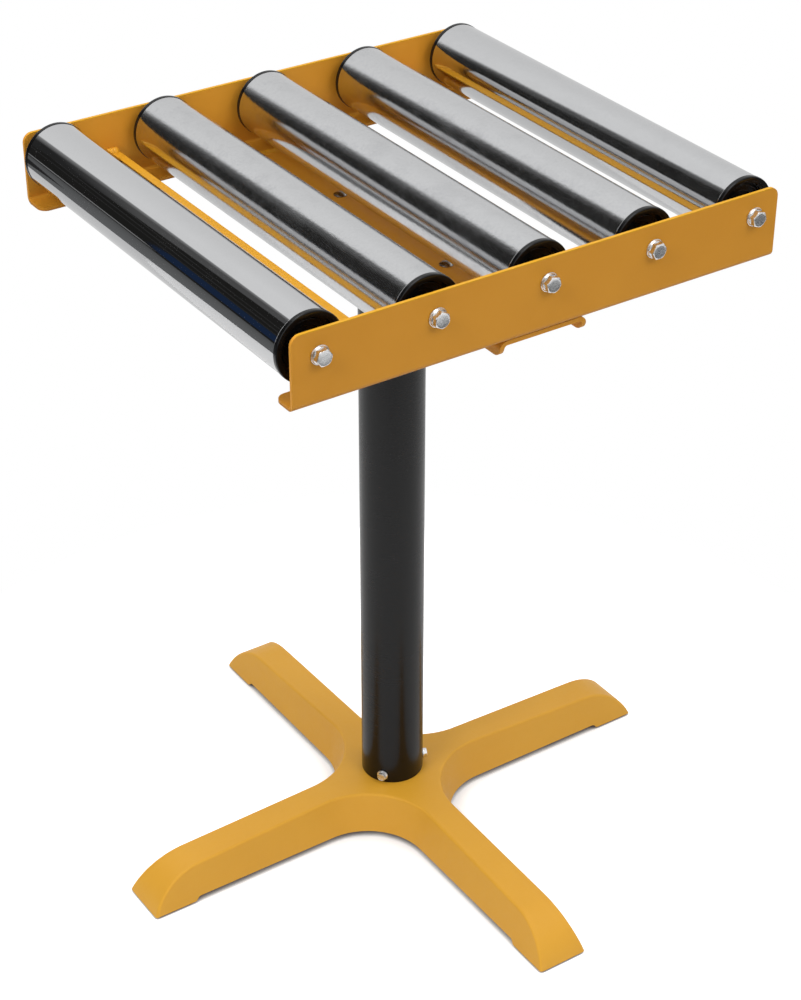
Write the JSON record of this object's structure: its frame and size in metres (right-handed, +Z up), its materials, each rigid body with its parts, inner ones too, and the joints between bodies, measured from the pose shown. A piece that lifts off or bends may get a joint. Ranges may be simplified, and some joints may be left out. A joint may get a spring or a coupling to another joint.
{
  "type": "roller stand",
  "caption": "Roller stand: a rectangular frame of free-turning steel rollers on a round column and a cast cross-shaped base, for carrying long work beside a machine.",
  "frame": {"origin": "centre of the base on the floor, under the column", "axes": "+Z up along the column, Y along the rollers, X across them, square to the side plates' holes"},
  "size_m": [0.573, 0.573, 0.7134],
  "materials": {
    "amber_paint": "satin powder coat",
    "black_paint": "satin",
    "roller_chrome": "polished",
    "zinc_steel": "bright zinc plate",
    "black_plastic": "satin",
    "rubber": "matte"
  },
  "bodies": {
    "stand": {"near_side_plate": "amber_paint", "far_side_plate": "amber_paint", "left_cross_bar": "amber_paint", "right_cross_bar": "amber_paint", "cross_channel": "amber_paint", "frame_welds": "amber_paint", "near_axle_bolts": "zinc_steel", "far_axle_bolts": "zinc_steel", "axle_spacers": "zinc_steel", "bearing_inner_rings": "zinc_steel", "axle_1": "zinc_steel", "axle_2": "zinc_steel", "axle_3": "zinc_steel", "axle_4": "zinc_steel", "axle_5": "zinc_steel", "column_tube": "black_paint", "column_top_plate": "black_paint", "column_weld": "black_paint", "frame_bolts": "zinc_steel", "frame_washers": "zinc_steel", "frame_nuts": "zinc_steel", "column_screws": "zinc_steel", "column_washers": "zinc_steel", "base_casting": "amber_paint", "foot_pads": "rubber"},
    "roller_1": {"roller_tube_1": "roller_chrome", "roller_caps_1": "black_plastic", "bearing_outer_rings_1": "zinc_steel"},
    "roller_2": {"roller_tube_2": "roller_chrome", "roller_caps_2": "black_plastic", "bearing_outer_rings_2": "zinc_steel"},
    "roller_3": {"roller_tube_3": "roller_chrome", "roller_caps_3": "black_plastic", "bearing_outer_rings_3": "zinc_steel"},
    "roller_4": {"roller_tube_4": "roller_chrome", "roller_caps_4": "black_plastic", "bearing_outer_rings_4": "zinc_steel"},
    "roller_5": {"roller_tube_5": "roller_chrome", "roller_caps_5": "black_plastic", "bearing_outer_rings_5": "zinc_steel"}
  },
  "joints": [
    {"name": "roller_1_spin", "type": "hinge", "parent": "stand", "child": "roller_1", "pos_m": [-0.214, 0, 0.683], "axis": [0, 1, 0], "continuous": true},
    {"name": "roller_2_spin", "type": "hinge", "parent": "stand", "child": "roller_2", "pos_m": [-0.107, 0, 0.683], "axis": [0, 1, 0], "continuous": true},
    {"name": "roller_3_spin", "type": "hinge", "parent": "stand", "child": "roller_3", "pos_m": [0, 0, 0.683], "axis": [0, 1, 0], "continuous": true},
    {"name": "roller_4_spin", "type": "hinge", "parent": "stand", "child": "roller_4", "pos_m": [0.107, 0, 0.683], "axis": [0, 1, 0], "continuous": true},
    {"name": "roller_5_spin", "type": "hinge", "parent": "stand", "child": "roller_5", "pos_m": [0.214, 0, 0.683], "axis": [0, 1, 0], "continuous": true}
  ]
}
